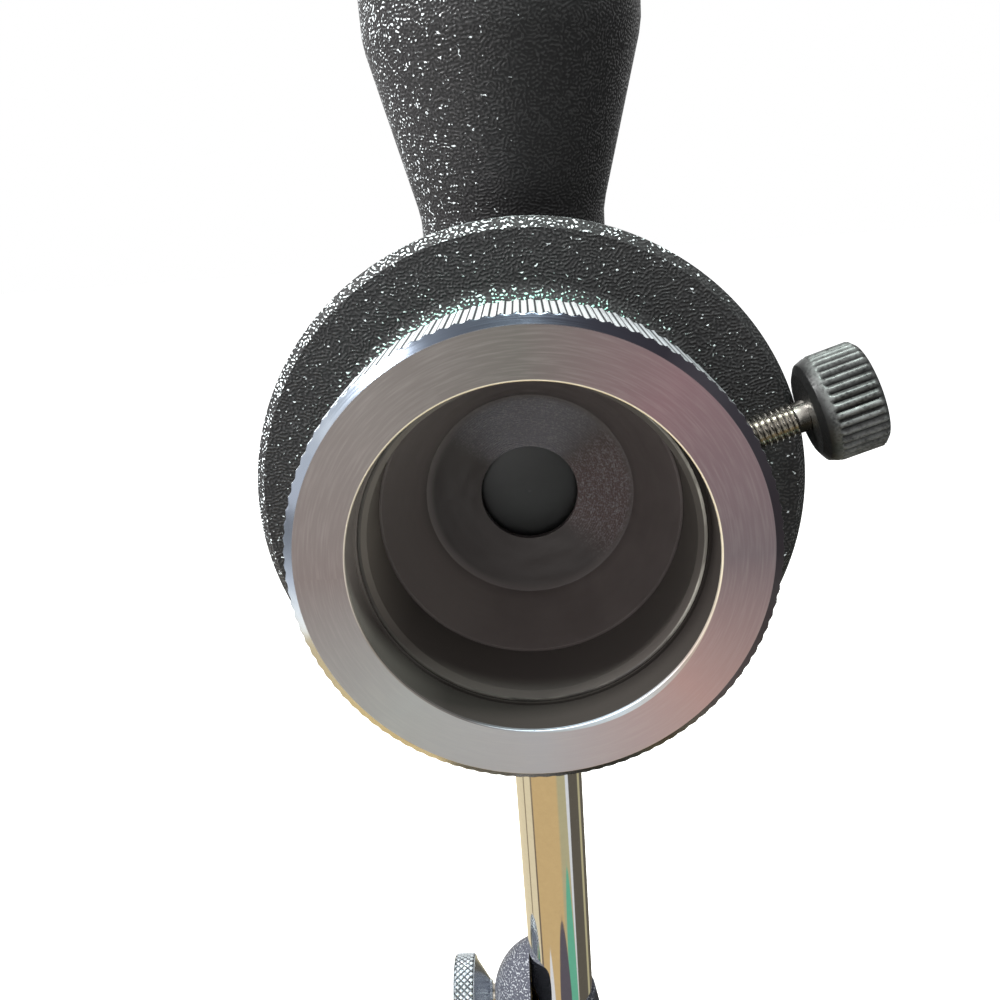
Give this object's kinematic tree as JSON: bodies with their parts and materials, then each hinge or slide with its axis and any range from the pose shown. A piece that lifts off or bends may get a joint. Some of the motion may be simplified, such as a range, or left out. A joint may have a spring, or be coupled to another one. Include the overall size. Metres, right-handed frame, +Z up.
{
  "type": "elbow telescope on a pillar stand",
  "caption": "Right-angle observing telescope on a chrome pillar and round base: knurled focusing ring, lock screw, prism elbow, upright objective tube with dew cap, pillar clamp.",
  "frame": {"origin": "middle of the base on the table, on the pillar's axis", "axes": "+Z up along the pillar; -Y is where the eyepiece looks from, towards the observer; +X is the observer's right"},
  "size_m": [0.132, 0.132, 0.358],
  "materials": {
    "turned_steel": "bright turned steel with fine concentric tool marks",
    "black_anodised": "black anodised, turned, worn to bare metal on the edges",
    "optical_glass": "polished, coated",
    "screw_steel": "plain machined",
    "wrinkle_paint": "black wrinkle enamel, glossy on its ridges",
    "nickel": "bright nickel plate",
    "knob_black": "black oxide, worn grey on the ridges",
    "brass": "turned, unlacquered",
    "bronze": "sintered bronze, oiled",
    "fibre": "pressed fibre sheet",
    "chrome": "mirror chrome plate on steel",
    "painted_iron": "cast iron in black wrinkle enamel",
    "foot_rubber": "moulded black rubber"
  },
  "bodies": {
    "base": {"base_casting": "painted_iron", "rubber_feet": "foot_rubber", "foot_screws": "screw_steel", "thrust_washer": "brass", "wave_washer": "screw_steel"},
    "clamp": {"clamp_casting": "wrinkle_paint", "ring_nut": "brass"},
    "clamp_shoe": {"clamp_shoe": "brass"},
    "clamp_knob": {"clamp_screw": "nickel", "clamp_knob": "nickel"},
    "pillar": {"pillar": "chrome", "pillar_guide_ring": "brass", "tilt_bracket": "wrinkle_paint", "pillar_set_screw": "screw_steel", "trunnion_bush": "bronze", "friction_washer": "fibre"},
    "head": {"front_flange": "wrinkle_paint", "elbow_housing": "wrinkle_paint", "flange_screws": "screw_steel", "neck_screws": "screw_steel", "rear_cover": "wrinkle_paint", "cover_screws": "screw_steel", "trunnion": "turned_steel", "prism": "optical_glass", "prism_seat": "black_anodised", "prism_cheeks": "black_anodised", "seat_screws": "screw_steel", "key_pin": "screw_steel", "objective_tube": "wrinkle_paint", "light_baffle": "black_anodised", "objective_cell": "black_anodised", "crown_lens": "optical_glass", "objective_spacer": "brass", "flint_lens": "optical_glass", "objective_lens_ring": "black_anodised"},
    "focus_ring": {"focusing_ring": "turned_steel"},
    "draw_tube": {"draw_tube": "black_anodised", "stop_plate": "black_anodised", "eyepiece_barrel": "black_anodised", "eye_lens": "optical_glass", "eyepiece_spacer": "black_anodised", "field_lens": "optical_glass", "eyepiece_lens_ring": "black_anodised"},
    "lock_pad": {"lock_pad": "brass"},
    "lock_knob": {"lock_screw": "nickel", "lock_knob": "knob_black"},
    "tension_washer": {"tension_washer": "brass"},
    "tilt_knob": {"tilt_knob": "knob_black", "tilt_knob_insert": "brass"},
    "dew_cap": {"dew_cap": "wrinkle_paint"}
  },
  "joints": [
    {"name": "azimuth_turn", "type": "hinge", "parent": "base", "child": "clamp", "pos_m": [0, 0, 0.048], "axis": [0, 0, 1], "continuous": true},
    {"name": "clamp_shoe_slide", "type": "slide", "parent": "clamp", "child": "clamp_shoe", "axis": [-1, 0, 0], "range_m": [0, 0.0008]},
    {"name": "clamp_screw_turn", "type": "hinge", "parent": "clamp_shoe", "child": "clamp_knob", "pos_m": [-0.012, 0, 0.087], "axis": [-1, 0, 0], "range_deg": [0, 360]},
    {"name": "pillar_slide", "type": "slide", "parent": "clamp", "child": "pillar", "axis": [0, 0, 1], "range_m": [-0.024, 0.0238]},
    {"name": "elevation_turn", "type": "hinge", "parent": "pillar", "child": "head", "pos_m": [0, 0.029, 0.2], "axis": [0, 1, 0], "range_deg": [-90, 90]},
    {"name": "focus_turn", "type": "hinge", "parent": "head", "child": "focus_ring", "pos_m": [0, -0.04, 0.2], "axis": [0, -1, 0], "range_deg": [0, 330]},
    {"name": "focus_slide", "type": "slide", "parent": "head", "child": "draw_tube", "axis": [0, -1, 0], "range_m": [0, 0.0055]},
    {"name": "lock_pad_slide", "type": "slide", "parent": "head", "child": "lock_pad", "axis": [0.9537, 0, 0.3007], "range_m": [0, 0.0016]},
    {"name": "lock_screw_turn", "type": "hinge", "parent": "lock_pad", "child": "lock_knob", "pos_m": [0, -0.0275, 0.2], "axis": [0.9537, 0, 0.3007], "range_deg": [0, 720]},
    {"name": "tension_washer_slide", "type": "slide", "parent": "head", "child": "tension_washer", "axis": [0, 1, 0], "range_m": [0, 0.00125]},
    {"name": "tilt_knob_turn", "type": "hinge", "parent": "tension_washer", "child": "tilt_knob", "pos_m": [0, 0.045, 0.2], "axis": [0, 1, 0], "range_deg": [0, 360]},
    {"name": "dew_cap_slide", "type": "slide", "parent": "head", "child": "dew_cap", "axis": [0, 0, 1], "range_m": [0, 0.028]}
  ],
  "couplings": [
    {"joint": "clamp_shoe_slide", "follows": "clamp_screw_turn", "m_per_rad": 0.00012732},
    {"joint": "focus_slide", "follows": "focus_turn", "m_per_rad": 0.00095493},
    {"joint": "lock_pad_slide", "follows": "lock_screw_turn", "m_per_rad": 0.00012732},
    {"joint": "tilt_knob_turn", "follows": "tension_washer_slide", "rad_per_m": 5026.5}
  ]
}
